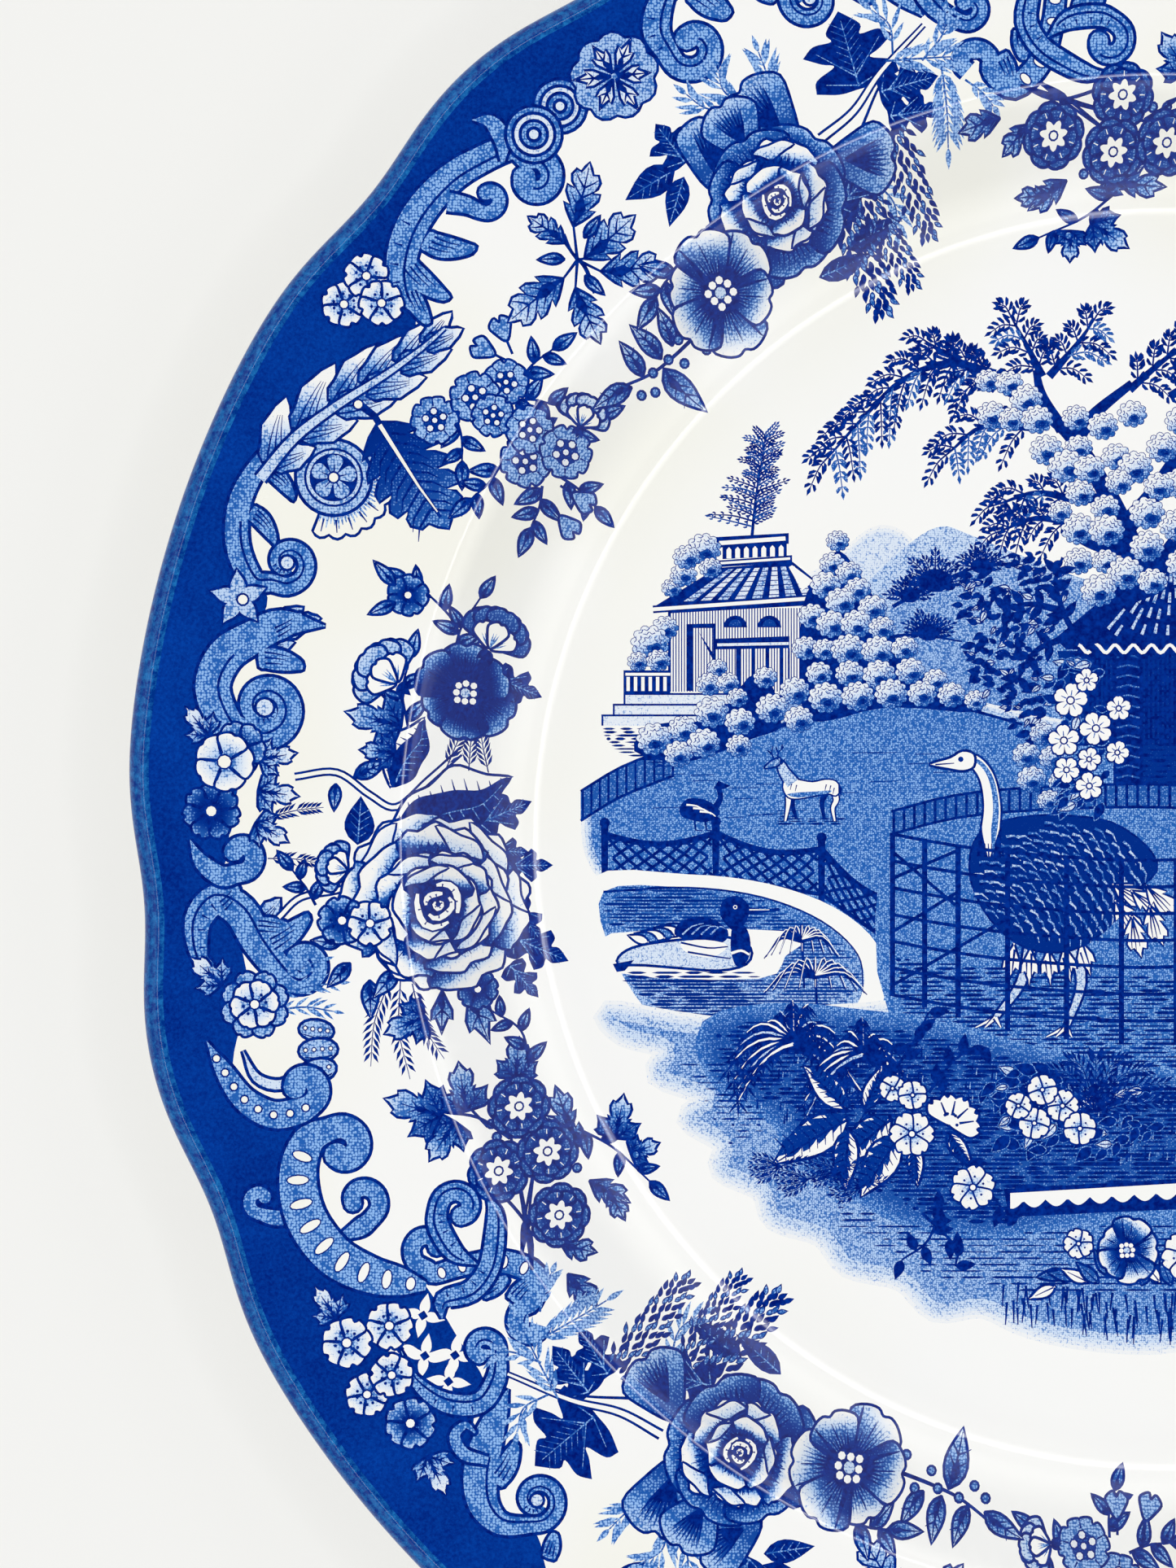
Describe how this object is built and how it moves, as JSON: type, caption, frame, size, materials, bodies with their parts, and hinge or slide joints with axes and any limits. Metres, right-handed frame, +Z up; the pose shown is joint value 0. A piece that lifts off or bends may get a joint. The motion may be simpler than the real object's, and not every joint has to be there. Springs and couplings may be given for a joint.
{
  "type": "serving platter",
  "caption": "Round scalloped serving platter in glazed china with a flat well, broad rim and foot ring, underglaze-printed in blue.",
  "frame": {"origin": "centre of the plane that the foot ring stands on", "axes": "+Z up out of the well; +Y towards the top of the centre picture; +X to the picture's right"},
  "size_m": [0.3044, 0.305, 0.0261],
  "materials": {
    "fired_body": "matt bare clay on the foot ring",
    "cobalt_band": "solid cobalt under gloss glaze",
    "cobalt_border": "stippled cobalt print under gloss glaze",
    "cobalt_scene": "engraved cobalt print under gloss glaze",
    "cobalt_mark": "cobalt print under gloss glaze",
    "clear_glaze": "high gloss"
  },
  "bodies": {
    "root": {"body": "fired_body", "rim_band_print": "cobalt_band", "border_print": "cobalt_border", "scene_print": "cobalt_scene", "base_mark_print": "cobalt_mark", "glaze": "clear_glaze", "recess_glaze": "clear_glaze"}
  },
  "joints": []
}
